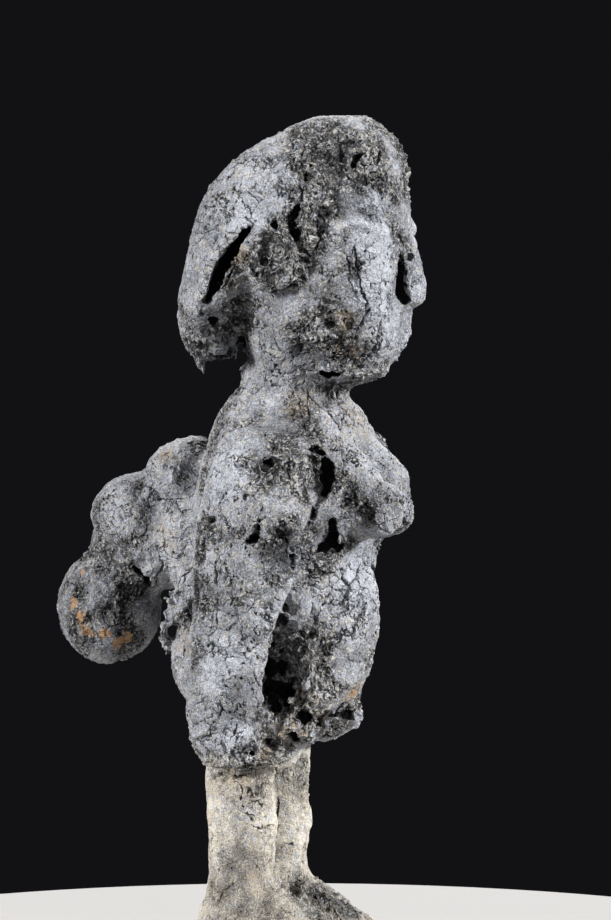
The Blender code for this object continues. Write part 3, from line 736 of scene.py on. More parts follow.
# Thin cracks, along pixels of the view: half width and depth in mm
clefts = {
    "crown": (((302, 150), (300, 160), (303, 170)), 0.35, 0.6),
    "templeUpper": (((304, 186), (301, 196)), 0.4, 0.8),
    "templeFront": (((318, 215), (316, 228), (320, 238), (315, 248)), 0.4, 0.8),
    "underEar": (((262, 284), (272, 290), (284, 288), (296, 285)), 0.5, 0.8),
    "faceEdge": (((355, 248), (357, 262), (360, 276), (362, 290), (368, 302), (366, 316),
                  (360, 328)), 0.38, 1.0),
    "cheekLine": (((347, 258), (350, 268), (349, 280), (354, 292)), 0.25, 0.6),
    "faceLow": (((380, 322), (377, 334), (374, 347), (378, 358)), 0.3, 0.6),
    "chin": (((381, 333), (380, 342), (377, 351)), 0.3, 0.6),
    "chinEdge": (((372, 348), (376, 358), (374, 367)), 0.3, 0.5),
    "neckCrack": (((266, 360), (272, 365), (280, 368)), 0.3, 0.6),
    "collar": (((309, 392), (308, 402), (310, 414), (306, 420)), 0.3, 0.6),
    "collarLine": (((309, 392), (320, 402), (332, 416), (340, 428)), 0.35, 0.6),
    "throat": (((333, 386), (335, 396)), 0.3, 0.5),
    "breastLine": (((345, 412), (342, 424)), 0.25, 0.5),
    "chestCrack": (((288, 462), (287, 472), (290, 480)), 0.3, 0.6),
    "breastTip": (((394, 508), (396, 518), (404, 522)), 0.3, 0.5),
    "waistTop": (((340, 569), (328, 575), (314, 580)), 0.45, 0.8),
    "bellyOne": (((341, 570), (341, 580), (348, 586), (357, 576), (362, 566)), 0.4, 0.7),
    "bellyTwo": (((347, 586), (345, 598), (340, 606)), 0.35, 0.6),
    "bellyThree": (((368, 600), (362, 614), (353, 626), (352, 636), (341, 635)), 0.4, 0.7),
    "bellyFour": (((326, 596), (334, 606), (345, 598)), 0.25, 0.4),
    "bellyFive": (((341, 635), (336, 648), (326, 655)), 0.3, 0.5),
    "forearmOne": (((216, 600), (217, 616), (217, 629), (209, 636)), 0.3, 0.5),
    "forearmTwo": (((236, 623), (228, 630), (221, 630)), 0.3, 0.5),
    "forearmThree": (((255, 674), (257, 680), (260, 686)), 0.3, 0.6),
    "forearmFour": (((216, 572), (216, 582)), 0.4, 0.7),
    "handOne": (((219, 700), (222, 709), (219, 716)), 0.35, 0.6),
    "handTwo": (((194, 742), (199, 738), (208, 736), (215, 734)), 0.35, 0.6),
    "handThree": (((236, 727), (236, 733), (231, 738)), 0.4, 0.7),
    "handFour": (((194, 724), (203, 721), (212, 716)), 0.25, 0.5),
    "handFive": (((195, 704), (201, 702), (206, 697)), 0.25, 0.5),
    "loadCrack": (((156, 498), (168, 499), (180, 497)), 0.3, 0.6),
    "loadBranch": (((142, 483), (148, 489), (152, 491)), 0.3, 0.5),
    "loadSide": (((163, 562), (162, 570), (157, 576), (156, 584)), 0.4, 0.8),
    "loadFoot": (((188, 572), (180, 580), (176, 592)), 0.3, 0.5),
    "loadMiddle": (((147, 520), (144, 532), (139, 540)), 0.3, 0.5),
    "bellyEdge": (((348, 704), (338, 713), (328, 720), (318, 727)), 0.8, 1.4),
    "legGap": (((277, 770), (278, 800), (277, 830), (270, 862)), 0.4, 0.7),
    "ankleCrack": (((232, 884), (222, 892), (218, 902)), 0.3, 0.5),
    "legOne": (((249, 789), (253, 795)), 0.4, 0.7),
    "legTwo": (((263, 785), (262, 794)), 0.4, 0.7),
    "legThree": (((251, 803), (258, 801), (262, 806)), 0.35, 0.6),
    "legFour": (((247, 814), (254, 817)), 0.4, 0.7),
    "legFive": (((253, 826), (262, 829), (267, 826)), 0.3, 0.6),
    "legSix": (((240, 787), (243, 793)), 0.35, 0.6),
    "legEdge": (((228, 774), (240, 777), (252, 772), (262, 766)), 0.45, 0.8),
}


# Swellings and dents, along pixels of the view: width and height in mm
swells = {
    "capRim": (((252, 222), (238, 227), (226, 240), (215, 256), (206, 276), (200, 298)), 2.0, 1.0),
    "capHollow": (((262, 205), (280, 196)), 5, -0.5),
    "capBack": (((240, 185), (222, 230)), 9, 0.6),
    "behindEar": (((244, 250), (240, 275)), 2.2, 0.6),
    "earHollow": (((271, 244), (271, 270)), 3.6, -0.4),
    "cheekBack": (((262, 305), (290, 320)), 8, 0.5),
    "templeRidge": (((285, 205), (281, 214)), 2.6, 0.9),
    "templeFront": (((308, 200), (311, 225), (310, 245)), 2.6, 1.0),
    "templeDent": (((322, 215), (326, 240)), 3, -0.5),
    "cheekPlate": (((330, 245), (334, 275), (340, 305)), 4.5, 0.7),
    "brow": (((336, 226), (350, 220), (368, 224), (384, 232)), 2.4, 0.9),
    "browHollow": (((338, 212), (352, 208)), 4, -1.0),
    "face": (((380, 240), (380, 290), (384, 340)), 5.5, 0.9),
    "faceEdge": (((352, 255), (355, 285), (362, 310)), 2.4, -0.4),
    "jaw": (((300, 352), (316, 360)), 4, -1.1),
    "jawEdge": (((335, 366), (362, 374), (385, 368)), 2.4, 0.8),
    "cheekFoot": (((342, 352), (356, 356)), 5, -0.6),
    "headTop": (((330, 160), (342, 148)), 6, -1.1),
    "crownRidge": (((366, 140), (376, 170)), 4, 0.7),
    "collar": (((285, 395), (330, 398)), 6, -0.7),
    "neckEdge": (((300, 384), (312, 400)), 3, -0.6),
    "shoulderDent": (((262, 470), (270, 486)), 5, -1.2),
    "shoulderTop": (((240, 430), (225, 470)), 7, 0.7),
    "chestDent": (((290, 432), (312, 428)), 6, -0.9),
    "chestPlate": (((284, 500), (290, 520)), 6, 0.6),
    "upperArm": (((228, 470), (230, 540)), 8, 0.7),
    "underArm": (((284, 540), (280, 560)), 4.5, -1.5),
    "armFront": (((300, 545), (288, 590), (268, 625)), 2.6, 0.9),
    "elbow": (((262, 596), (258, 622)), 6, 0.8),
    "breastTop": (((362, 492), (380, 505)), 6, -0.7),
    "breastSide": (((352, 470), (370, 480)), 5, 0.6),
    "breastTip": (((404, 514), (402, 522)), 3.5, 0.8),
    "forearmFront": (((264, 630), (264, 715)), 2.2, 0.8),
    "forearmDent": (((244, 690), (240, 712)), 6, -1.0),
    "forearmMiddle": (((216, 650), (214, 690)), 6, 0.6),
    "buttockEdge": (((196, 575), (194, 610), (190, 650)), 1.6, -0.9),
    "knuckles": (((196, 738), (220, 742), (246, 736)), 4, 0.7),
    "handEnd": (((190, 758), (225, 764), (255, 758)), 2, 0.7),
    "legShoulder": (((208, 774), (240, 777), (268, 772)), 2.2, -0.9),
    "belly": (((348, 590), (352, 625)), 9, 0.9),
    "bellySide": (((312, 640), (318, 655)), 5, -0.9),
    "bellyFoot": (((322, 694), (348, 680)), 5, 1.0),
    "bellyUnder": (((322, 722), (340, 712)), 2.2, -1.2),
    "hip": (((280, 728), (310, 735)), 5, 0.7),
    "loadTop": (((158, 452), (172, 446)), 6, 0.8),
    "loadValley": (((196, 462), (186, 476), (180, 490)), 3.6, -1.0),
    "loadBack": (((118, 496), (124, 512)), 7, 0.7),
    "loadDent": (((150, 505), (146, 528)), 4, -1.3),
    "loadFoot": (((172, 530), (176, 565)), 6, 0.7),
    "ballNeck": (((104, 550), (124, 556), (142, 566)), 3.0, -1.2),
    "shinLower": (((308, 812), (308, 822)), 3.4, 1.2),
    "calf": (((216, 800), (214, 850)), 5, 0.6),
    "shin": (((262, 830), (264, 850)), 3.5, 0.6),
    "ankle": (((235, 862), (250, 868)), 6, -0.7),
    "heel": (((214, 900), (230, 905)), 6, 0.5),
}


def smooth(values):
    values = np.clip(values, 0, 1)
    return values * values * (3 - 2 * values)


def pointsOf(thing):
    places = np.empty(len(thing.data.vertices) * 3, np.float32)  # three numbers a point
    thing.data.vertices.foreach_get("co", places)
    return places.reshape(-1, 3) / mm


def awayFrom(places, path):
    away = np.full(len(places), 1e9)
    for start, end in zip(path, path[1:]):
        start, end = np.array(start) / mm, np.array(end) / mm
        run = end - start
        share = np.clip((places - start) @ run / max(run @ run, 1e-6), 0, 1)
        away = np.minimum(away, np.linalg.norm(places - start - share[:, None] * run, axis=1))
    return away


# How shut in each place is: rays from the plain solid's points, shared out to the skin's points near them.
# The crust's colour is painted darker where it is shut in, as painted shade
shade = {
    "rays": 40,
    "reach": 22,  # mm
    "lift": 0.5,
    "grazing": 0.15,
    "neighbours": 4,
}


def shutIn(thing, solid):
    turns = [i * math.pi * (3 - math.sqrt(5)) for i in range(shade["rays"])]
    levels = [1 - 2 * (i + 0.5) / shade["rays"] for i in range(shade["rays"])]
    rays = [Vector((math.cos(t) * math.sqrt(1 - z * z), math.sin(t) * math.sqrt(1 - z * z), z))
            for t, z in zip(turns, levels)]
    tree = KDTree(len(solid.data.vertices))
    closed = []
    for point in solid.data.vertices:
        tree.insert(point.co, point.index)
        start = point.co + point.normal * shade["lift"] * mm
        out = [(ray, ray.dot(point.normal)) for ray in rays if ray.dot(point.normal) > shade["grazing"]]
        met = sum(lean for ray, lean in out if carved.ray_cast(start, ray, shade["reach"] * mm)[0])
        closed.append(met / sum(lean for ray, lean in out))
    tree.balance()
    values = []
    for point in thing.data.vertices:
        near = tree.find_n(point.co, shade["neighbours"])
        shares = [1 / (away + shade["lift"] * mm) for place, index, away in near]
        met = sum(share * closed[index] for share, (place, index, away) in zip(shares, near))
        values.append(met / sum(shares))
    storeValues(thing, "shut", values)


# How the marks, swellings and clefts above fade out on the skin
marking = {
    "fade": 1.25,  # of a mark's radius
    "onHerLeft": 0.8,  # how much of a mark her other side has
    "swellFade": 1.2,  # of a swelling's width
    "cleftFade": (1.9, 0.8),  # gone at 1.9 times 0.8 mm from the line
    "farAway": 99.0,  # mm, and how far to a cleft's sides is told apart
    "cleftReach": 4,
}


def bothSides(pixels):
    seen = [behindPixel(x, y) for x, y in pixels]
    return seen, [(onHerLeft(place), mirrored(out)) for place, out in seen]


def storeMarks(thing, places):
    for kind, groups in crustMarks.items():
        amount = np.zeros(len(places), np.float32)
        for x, y, radius, much in [mark for group in groups.values() for mark in group]:
            seen = behindPixel(x, y)[0]
            for middle, share in ((seen, 1), (onHerLeft(seen), marking["onHerLeft"])):
                away = np.linalg.norm(places - np.array(middle) / mm, axis=1)
                amount = np.maximum(amount, much * share * smooth(marking["fade"] - away / radius))
        storeValues(thing, kind, amount)


def storeSwells(thing, places):
    form = np.zeros(len(places))
    for pixels, wide, high in swells.values():
        for path in bothSides(pixels):
            away = awayFrom(places, [place for place, out in path])
            form += high * smooth(marking["swellFade"] - away / wide)
    storeValues(thing, "form", form)


def storeClefts(thing, places):
    nearest, beside = [np.full(len(places), marking["farAway"]) for value in range(2)]
    widest, deepest = [np.zeros(len(places)) for value in range(2)]
    for pixels, wide, deep in clefts.values():
        for path in bothSides(pixels):
            away = awayFrom(places, [place for place, out in path])
            for (start, out), (end, outEnd) in zip(path, path[1:]):
                here = awayFrom(places, [start, end])
                chosen = (here <= away + 0.001) & (here < nearest)
                across = np.array((end - start).cross(out + outEnd).normalized())
                beside[chosen] = (np.sign((places - np.array(start) / mm) @ across) * here)[chosen]
                nearest[chosen] = here[chosen]
                widest[chosen] = wide
                deepest[chosen] = deep
    full, soft = marking["cleftFade"]
    storeValues(thing, "beside", np.clip(beside, -marking["cleftReach"], marking["cleftReach"]))
    storeValues(thing, "cleft", smooth(full - nearest / soft))
    storeValues(thing, "cleftWide", widest)
    storeValues(thing, "cleftDeep", deepest)


def storeEaten(thing):
    sunk = []
    for point in thing.data.vertices:
        place, out, face, away = carved.find_nearest(point.co)
        sunk.append(away / mm if (point.co - place).dot(out) < 0 else 0)
    storeValues(thing, "eaten", sunk)


def markSkin(thing):
    places = pointsOf(thing)
    storeMarks(thing, places)
    storeSwells(thing, places)
    storeClefts(thing, places)
    storeEaten(thing)


markSkin(skin)
shutIn(skin, solid)
bpy.data.objects.remove(solid)
print("skin marked")

# The dried crust: clotted grains and crumbs in coarse places, a tighter skin between them, cracked into
# plates and eaten by pits. Sizes in mm. A swing is the size of its noise, how much, its detail and its
# roughness; patches are the size of their noise and the values between which they rise
crust = {
    "plate": 4.0,
    "smallPlate": 1.9,
    "stray": (2.6, 2.6),  # how far cracks and pits stray from even shapes: size of the bends, how far
    "fray": (0.8, 1.0),
    "openIn": (5.5, 0.25, 0.49, 0.76),  # where cracks stand open: size, the marks' share, from, to
    "openSoon": 0.25,  # how open a crack is where it is fully black
    "hairline": 0.05,
    "openCrack": 0.12,
    "crackCore": 0.35,  # of its width
    "crackDeep": 0.35,
    "dome": (1.2, 0.35),  # how a plate rises from its edge: how wide, how high
    "plateStep": 0.2,
    "flake": 0.4,
    "flaked": 0.9,
    "flakeShare": (0.7, 0.2),  # on marked places, and everywhere
    "fineGap": (0.02, 0.08, 0.14),  # its core, its width, and how much wider in coarse places
    "fineIn": (3.1, 0.46, 0.6),
    "fineDeep": 0.35,
    "pit": 1.9,
    "pitRadius": (0.22, 0.6),
    "pitCore": 0.5,  # of its radius
    "pitChance": (0.5, 0.02),
    "pitSwarms": (7.5, 0.52, 0.72),
    "swarm": 0.22,
    "pitDeep": 0.9,
    "speck": 0.95,
    "speckRadius": (0.2, 0.42),  # of the speck's cell
    "speckChance": (0.36, 0.07),
    "speckCore": 0.6,
    "earthy": 0.76,
    "crevice": (6.5, 4.0, 0.6),
    "creviceWide": (0.003, 0.013),
    "creviceIn": (10.0, 0.5, 0.6),
    "creviceDeep": 0.8,
    "clot": (0.05, 0.85),
    "clotTall": (0.7, 0.3),
    "clotMiddle": 0.55,
    "crumb": (2.2, 0.75),
    "grain": (1.15, 0.34),
    "coarse": 10,
    "coarseOf": {"pitted": 0.4, "even": -0.3, "cracked": -0.08},
    "coarseFrom": (0.42, 0.64),
    "bitty": (0.65, 0.35),
    "lump": (12, 2.2),
    "swelling": (4.2, 2.2, 3.0),
    "cleftSway": (1.6, 1.6, 3.0),
    "cleft": (0.6, (2.2, 0.6), (-0.3, 0.2)),  # its share of the width, how it frays, its soft edge
    "dusty": (9, 3.0),  # the noise of the dust's edge on the legs
    "dustEdge": (22, 73, 82),
    "dustOnPits": -0.75,
    "calmLegs": -0.55,
    "sink": -0.25,
    "foot": (0.3, 2.5),  # heights between which the crust fades out towards the floor
    "inset": (0.12, 0.12, 0),  # how far the crust stays inside the solid's box
    "insetTop": 0.12,
}


def cleftShare(where, mark, share, fray, softEdge):
    off = calc("ABSOLUTE", total(mark("beside"), swing(where, *crust["cleftSway"])))
    ragged = total(product(mark("cleftWide"), share), product(off, -1.0), swing(where, *fray))
    return product(spread(ragged, *softEdge), mark("cleft"))


def crustFields(where, cracked, pitted, coarse):
    loose = strayed(where, *crust["stray"])
    bent = strayed(loose, *crust["fray"])

    # Cracks between plates: open in some places, closed in others
    def edgeOf(size):
        return product(cells(bent, size, "DISTANCE_TO_EDGE").outputs["Distance"], size)

    size, share, low, high = crust["openIn"]
    opening = spread(scaled(cracked, share, noise(where, size)), low, high)
    width = scaled(opening, crust["openCrack"], crust["hairline"])
    edge = edgeOf(crust["plate"])
    crack = product(less(edge, product(width, crust["crackCore"]), width),
                    spread(opening, 0.0, crust["openSoon"]))
    plate = apart(cells(bent, crust["plate"], "F1").outputs["Color"])
    core, gap, wider = crust["fineGap"]
    fine = product(less(edgeOf(crust["smallPlate"]), core, scaled(coarse, wider, gap)),
                   patches(where, *crust["fineIn"]))

    # Pits come in swarms, and small specks are everywhere
    def roundMarks(size, wanted, small, big, core):
        node = cells(bent, size, "F1")
        chance = apart(node.outputs["Color"])
        reach = scaled(chance[1], big - small, small)
        there = calc("LESS_THAN", chance[0], wanted)
        return product(there, less(node.outputs["Distance"], product(reach, core), reach)), chance[2]

    swarm = product(patches(where, *crust["pitSwarms"]), crust["swarm"])
    pitHere = total(scaled(pitted, *crust["pitChance"]), swarm)
    speckHere = scaled(coarse, *crust["speckChance"])
    radii = [radius / crust["pit"] for radius in crust["pitRadius"]]
    pit = roundMarks(crust["pit"], pitHere, *radii, crust["pitCore"])[0]
    speck, earth = roundMarks(crust["speck"], speckHere, *crust["speckRadius"], crust["speckCore"])

    # Long wandering crevices, thin lines where a broad noise passes its middle value
    line = calc("ABSOLUTE", past(noise(loose, *crust["crevice"]), 0.5))
    crevice = product(less(line, *crust["creviceWide"]), patches(where, *crust["creviceIn"]))

    # Crumbs and grains, each with a height of its own
    def clots(size):
        node = cells(bent, size, "F1")
        tall = scaled(apart(node.outputs["Color"])[2], *crust["clotTall"])
        return product(less(node.outputs["Distance"], *crust["clot"]), tall)

    return {
        "crack": crack, "fine": fine, "pit": pit, "speck": speck, "crevice": crevice, "edge": edge,
        "crumb": clots(crust["crumb"][0]), "grain": clots(crust["grain"][0]), "plate": plate[0],
        "flaked": calc("GREATER_THAN", plate[1], crust["flaked"]),
        "earthy": calc("GREATER_THAN", earth, crust["earthy"]),
    }


def reliefTree():
    geometry, end = geometryTree("crust relief")
    where = vector("SCALE", put("GeometryNodeInputPosition").outputs[0], scale=1 / mm)
    tall = apart(where)[2]
    field = {name: storedValue(name) for name in ("cracked", "pitted", "even")}
    cracked, pitted = field["cracked"], field["pitted"]
    much, low, high = crust["dustEdge"]
    calm = less(scaled(noise(where, *crust["dusty"]), much, tall), low, high)
    calm = product(calm, scaled(pitted, crust["dustOnPits"], 1.0))
    coarse = total(noise(where, crust["coarse"]), *weighed(field, crust["coarseOf"]))
    coarse = spread(coarse, *crust["coarseFrom"])
    rough = scaled(calm, crust["calmLegs"], 1.0)
    bitty = product(rough, scaled(coarse, *crust["bitty"]))
    field.update(crustFields(where, cracked, pitted, coarse))
    sunk = product(cleftShare(where, storedValue, *crust["cleft"]), storedValue("cleftDeep"))
    domeWide, domeHigh = crust["dome"]
    offset = total(
        swing(where, *crust["lump"]),
        storedValue("form"),
        product(rough, scaled(coarse, 0.5, 0.5), swing(where, *crust["swelling"])),
        product(bitty, past(field["crumb"], crust["clotMiddle"]), crust["crumb"][1]),
        product(bitty, past(field["grain"], crust["clotMiddle"]), crust["grain"][1]),
        product(rough, field["crack"], -crust["crackDeep"]),
        product(cracked, spread(field["edge"], 0.0, domeWide), domeHigh),
        product(rough, field["crevice"], -crust["creviceDeep"]),
        product(bitty, field["fine"], -crust["fineDeep"]),
        product(rough, field["flaked"], scaled(cracked, *crust["flakeShare"]), -crust["flake"]),
        product(rough, past(field["plate"], 0.5), crust["plateStep"]),
        product(field["pit"], -crust["pitDeep"]),
        product(sunk, -1.0), crust["sink"])
    offset = product(offset, spread(tall, *crust["foot"]))
    push = vector("SCALE", put("GeometryNodeInputNormal").outputs[0], scale=offset)
    held = vector("ADD", where, push)
    lowest, highest = cadBox
    held = vector("MAXIMUM", held, [corner / mm + inset for corner, inset in zip(lowest, crust["inset"])])
    held = vector("MINIMUM", held, [corner / mm - crust["insetTop"] for corner in highest])
    kept = {"flat": where, "deep": field["pit"], "calm": calm, "high": offset, "coarse": coarse}
    for name, value in kept.items():
        keep = put("GeometryNodeStoreNamedAttribute", domain="POINT",
                   data_type="FLOAT_VECTOR" if name == "flat" else "FLOAT")
        keep.inputs["Name"].default_value = name
        join(geometry, keep.inputs["Geometry"])
        join(value, keep.inputs["Value"])
        geometry = keep.outputs[0]
    move = put("GeometryNodeSetPosition")
    join(geometry, move.inputs["Geometry"])
    join(vector("SCALE", held, scale=mm), move.inputs["Position"])
    join(move.outputs[0], end)
    return bench["tree"]


def thinOut(thing, triangles):
    share = min(1, triangles / triangleCount(thing))
    applied(thing, "DECIMATE", ratio=share, use_collapse_triangulate=True)


applied(skin, "NODES", node_group=reliefTree())
thinOut(skin, carving["triangles"])
print("crust raised:", triangleCount(skin), "triangles")

# Colours of the crust, from its blackest to its palest, what lies on it or shows through it, the shade and
# sheen painted on it, and how each of them changes from place to place
finish = {
    "tones": {0.0: (0.005, 0.005, 0.006), 0.25: (0.032, 0.033, 0.037), 0.5: (0.115, 0.118, 0.127),
              0.75: (0.25, 0.255, 0.27), 1.0: (0.46, 0.465, 0.485)},
    "cool": (0.97, 0.99, 1.045),
    "warm": (1.06, 1.0, 0.90),
    "dust": {0.0: (0.05, 0.046, 0.042), 0.35: (0.17, 0.163, 0.152), 0.65: (0.35, 0.338, 0.315),
             1.0: (0.55, 0.53, 0.49)},
    "clay": (0.32, 0.26, 0.19),
    "earth": (0.38, 0.355, 0.31),
    "wood": (0.40, 0.235, 0.125),
    # Black for the cracks, and for the painted shade in holes, caves and pits
    "blackAndShade": (0.005, 0.005, 0.005),
    "legsCalm": -0.6,
    "occludedShadeFrom": (0.42, 0.92),
    "clots": {"grain": 0.6, "crumb": 0.5},
    "clotSwings": ((2.4, 0.5, 3.0), (0.8, 1.7, 3.0, 0.7), (0.45, 1.6)),
    "skinSwings": ((2.4, 0.35, 3.0), (0.8, 0.8, 3.0, 0.7), (0.45, 0.9)),
    "paintedGlints": (0.9, 0.6, 0.7, 1.0),
    "paintedGlintShare": (0.3, 0.07),
    "tone": 0.815,
    "toneSwings": ((24, 0.3), (7, 0.4)),
    "toneOf": {"coarse": 0.06, "high": 0.12, "darkAndShade": -0.34, "glossAndSheen": 0.12, "occludedShade": -0.45},
    "plateShare": (0.15, 0.1),
    "chalk": 0.78,
    "chalkSwings": ((16, 0.6), (4, 0.8, 3.0), (0.8, 1.0, 3.0, 0.7), (0.4, 0.9)),
    "chalkOf": {"high": 0.2, "darkAndShade": -0.5, "occludedShade": -0.5},
    "chalky": 0.95,
    "earthyGrain": (0.45, 0.6),
    "earthyShare": 0.5,
    "stain": ((2.2, 3.0, 0.6), 0.45, (0.6, 0.95), 0.6),  # noise, the mark's share, from and to, strength
    "warmth": (1.6, {"coarse": 0.1, "glossAndSheen": -0.2, "calm": 0.1}, (0.45, 0.68)),
    "fineShare": (0.5, 0.35),
    "cleft": (0.5, (1.4, 0.8), (-0.1, 0.08)),
    "crackBlack": 0.85,
    "hole": ((0.9, 1.0, 3.0), (0.5, 1.3)),  # how its edge sways, and the depths from which it is painted black as shade
    "cave": ((1.8, 1.2, 3.0), (0.25, 0.6), 0.2),
    "pitBlack": 0.9,
    "blackest": 0.97,
    "bareSwing": (1.9, 2.4, 4.0, 0.65),
    "bareFrom": (0.42, 0.52),
    "bareEdge": 0.25,
    "worn": (0.85, (0.7, 1.2, 3.0)),
    "gloss": 0.42,
    "glossSwing": (1.2, 0.7, 3.0),
    "glossOf": {"glossAndSheen": -0.12, "calm": 0.26, "coarse": 0.12, "cracks": 0.3},
    "shine": (0.3, 0.35),
    "shineEnds": (0.3, 0.9),
    "bits": {"grain": 0.34, "crumb": 0.2},
    "bitSwings": ((0.5, 0.7, 3.0, 0.7), (1.3, 0.6, 3.0, 0.6)),
    "bitsOnCoarse": (0.5, 0.6),
    "bitsOnCalm": (-0.45, 1.0),
    "dents": {"cracks": -0.3, "pit": -0.35},
    "speckDent": -0.2,
    "dentSwing": (0.4, 0.28, 1.0),
}


def toneRamp(value, colours):
    ramp = put("ShaderNodeValToRGB")
    stops = ramp.color_ramp.elements
    for spot in list(colours)[2:]:
        stops.new(spot)
    for stop, (spot, colour) in zip(stops, colours.items()):
        stop.position = spot
        stop.color = (*colour, 1)
    join(value, ramp.inputs[0])
    return ramp.outputs["Color"]


def bakedValue(name, output="Fac"):
    return put("ShaderNodeAttribute", attribute_type="GEOMETRY", attribute_name=name).outputs[output]


# The tone of the bare crust: darker where the dark marks lie, partly darker crust and partly painted shade,
# painted shade where it is shut in, and a painted sheen with painted glints on the glossy places
def crustTone(where, field):
    clotted = total(*[above(field[name], 0.5, much) for name, much in finish["clots"].items()],
                    swings(where, finish["clotSwings"]))
    tight = product(calc("SUBTRACT", 1.0, field["coarse"]), swings(where, finish["skinSwings"]))
    # Painted glints: small light patches in the colour on the glossy places
    paintedGlints = product(patches(where, *finish["paintedGlints"]), scaled(field["glossAndSheen"], *finish["paintedGlintShare"]))
    broad, middling = finish["toneSwings"]
    return total(finish["tone"], swing(where, *broad), *weighed(field, finish["toneOf"]),
                 product(swing(where, *middling), scaled(field["coarse"], 0.5, 0.5)),
                 product(field["coarse"], clotted), tight, paintedGlints,
                 product(past(field["plate"], 0.5), scaled(field["glossAndSheen"], *finish["plateShare"])))


# The pale dust of the legs, earth on the crumbs, tan stains, and a cool or warm cast, cooler where the sheen
# is painted
def dustAndEarth(where, field, colour):
    chalk = total(finish["chalk"], swings(where, finish["chalkSwings"]), *weighed(field, finish["chalkOf"]))
    colour = blendIn(product(field["calm"], finish["chalky"]), colour, toneRamp(chalk, finish["dust"]))
    crumbly = product(field["earthy"], spread(field["grain"], *finish["earthyGrain"]), field["coarse"],
                      field["crusty"], finish["earthyShare"])
    colour = blendIn(crumbly, colour, finish["earth"])
    mottle, share, edges, strength = finish["stain"]
    stained = spread(total(product(field["tan"], share), noise(where, *mottle)), *edges)
    colour = blendIn(product(stained, strength), colour, finish["clay"])
    size, weights, edges = finish["warmth"]
    warmth = spread(total(noise(where, size), *weighed(field, weights)), *edges)
    return blendIn(1.0, colour, blendIn(warmth, finish["cool"], finish["warm"]), "MULTIPLY")


def cracksAndLines(where, field):
    fine = product(field["fine"], scaled(field["coarse"], *finish["fineShare"]))
    cracks = calc("MAXIMUM", calc("MAXIMUM", field["crack"], fine), field["crevice"])
    cracks = product(cracks, field["crusty"])
    return calc("MAXIMUM", cracks, cleftShare(where, bakedValue, *finish["cleft"]))


# Painted shade: black in the pits, the specks, the insides of the holes and the caves
def blackPlaces(where, field):
    sway, edges = finish["hole"]
    holesIn = spread(total(field["eaten"], swing(where, *sway)), *edges)
    sway, edges, sootEdge = finish["cave"]
    caves = spread(total(field["blackAndShade"], swing(where, *sway)), *edges)
    caves = product(caves, spread(field["blackAndShade"], 0.0, sootEdge))
    pits = product(calc("MAXIMUM", field["pit"], field["deep"]), finish["pitBlack"])
    specks = product(field["speck"], finish["pitBlack"], calc("MAXIMUM", field["crusty"], field["pitted"]))
    return total(pits, specks, calc("MAXIMUM", holesIn, caves))


def bareWood(where, field, colour):
    showing = spread(total(field["bare"], swing(where, *finish["bareSwing"])), *finish["bareFrom"])
    most, wear = finish["worn"]
    worn = product(showing, spread(field["bare"], 0.0, finish["bareEdge"]), total(most, swing(where, *wear)))
    return blendIn(worn, colour, finish["wood"])


def fineRelief(where, field):
    bits = total(*weighed(field, finish["bits"]), swings(where, finish["bitSwings"]))
    finer = product(bits, scaled(field["coarse"], *finish["bitsOnCoarse"]),
                    scaled(field["calm"], *finish["bitsOnCalm"]))
    specks = product(field["speck"], finish["speckDent"], field["crusty"])
    return total(finer, *weighed(field, finish["dents"]), specks, swing(where, *finish["dentSwing"]))


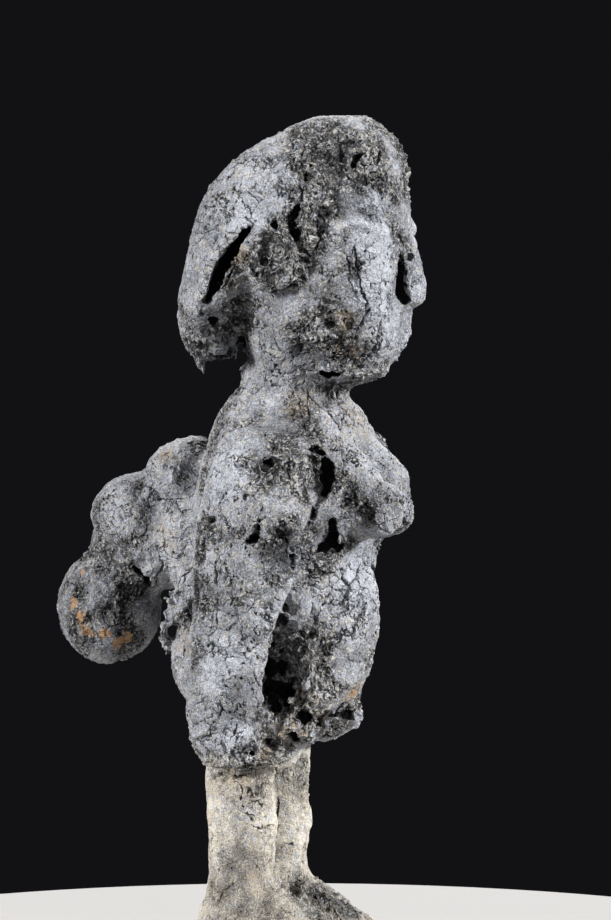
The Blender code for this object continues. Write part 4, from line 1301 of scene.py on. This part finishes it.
def crustMaterial():
    material = bpy.data.materials.new("crusted wood")
    material.use_nodes = True
    bench["tree"] = material.node_tree
    shader = material.node_tree.nodes["Principled BSDF"]

    where = bakedValue("flat", "Vector")
    field = {name: bakedValue(name) for name in (
        "cracked", "pitted", "darkAndShade", "tan", "bare", "blackAndShade", "glossAndSheen",
        "calm", "deep", "high", "shut", "coarse", "eaten")}
    field.update(crustFields(where, field["cracked"], field["pitted"], field["coarse"]))
    field["crusty"] = scaled(field["calm"], finish["legsCalm"], 1.0)
    unpitted = scaled(field["pitted"], -1.0, 1.0)
    # Painted shade: darker colour where the crust is shut in, less of it in pitted places
    field["occludedShade"] = product(spread(field["shut"], *finish["occludedShadeFrom"]), unpitted)

    colour = toneRamp(crustTone(where, field), finish["tones"])
    colour = dustAndEarth(where, field, colour)
    field["cracks"] = cracksAndLines(where, field)
    colour = blendIn(product(field["cracks"], finish["crackBlack"]), colour, finish["blackAndShade"])
    # Painted shade: the black of holes, caves, pits and specks
    blackened = blackPlaces(where, field)
    colour = blendIn(calc("MINIMUM", blackened, finish["blackest"]), colour, finish["blackAndShade"])
    join(bareWood(where, field, colour), shader.inputs["Base Color"])

    gloss = total(finish["gloss"], swing(where, *finish["glossSwing"]), *weighed(field, finish["glossOf"]))
    join(spread(gloss, 0.0, 1.0, soft=False), shader.inputs["Roughness"])
    shine = product(scaled(field["glossAndSheen"], *finish["shine"]), less(blackened, *finish["shineEnds"]))
    join(shine, shader.inputs["Specular IOR Level"])

    bump = put("ShaderNodeBump")
    bump.inputs["Strength"].default_value = 1.0
    bump.inputs["Distance"].default_value = mm
    join(fineRelief(where, field), bump.inputs["Height"])
    join(bump.outputs[0], shader.inputs["Normal"])
    return material


skin.data.materials.clear()
skin.data.materials.append(crustMaterial())
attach(skin, "root")
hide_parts("figure")
print("crust coloured")

# Studio: a pale floor, and soft light from both sides, from the camera and from behind. A light comes
# from so far towards the camera, to its right and up; then its strength and how wide it is in degrees
studio = {
    "floorSize": 0.2,
    "floorColour": (0.42, 0.41, 0.40),
    "lights": {
        "key": ((0.36, 0.94, 0.42), 6.2, 8),
        "side": ((0.36, -0.94, 0.36), 5.4, 14),
        "front": ((1.0, 0.15, 0.2), 0.75, 40),
        "behind": ((-0.8, 0.1, 0.5), 1.6, 50),
    },
    "surrounding": (0.006, 0.006, 0.007),
}


def makeFloor():
    clearSelection()
    bpy.ops.mesh.primitive_circle_add(vertices=96, radius=studio["floorSize"], fill_type="NGON")
    floor = bpy.context.object
    floor.name = "floor"
    paint = bpy.data.materials.new("floor")
    paint.use_nodes = True
    shader = paint.node_tree.nodes["Principled BSDF"]
    shader.inputs["Base Color"].default_value = (*studio["floorColour"], 1)
    shader.inputs["Roughness"].default_value = 0.8
    floor.data.materials.append(paint)
    return floor


def makeSun(name, away, strength, wide):
    front = Vector((viewBack.x, viewBack.y, 0))
    toLight = front * away[0] + viewRight * away[1] + Vector((0, 0, away[2]))
    data = bpy.data.lights.new(name, "SUN")
    data.energy = strength
    data.angle = math.radians(wide)
    light = bpy.data.objects.new(name, data)
    bpy.context.scene.collection.objects.link(light)
    light.rotation_euler = toLight.to_track_quat("Z", "Y").to_euler()


makeFloor()
for name, light in studio["lights"].items():
    makeSun(name, *light)
world = bpy.data.worlds.new("studio")
world.use_nodes = True
world.node_tree.nodes["Background"].inputs["Color"].default_value = (*studio["surrounding"], 1)
bpy.context.scene.world = world
bpy.context.scene.view_settings.view_transform = "Standard"
print("studio lit")
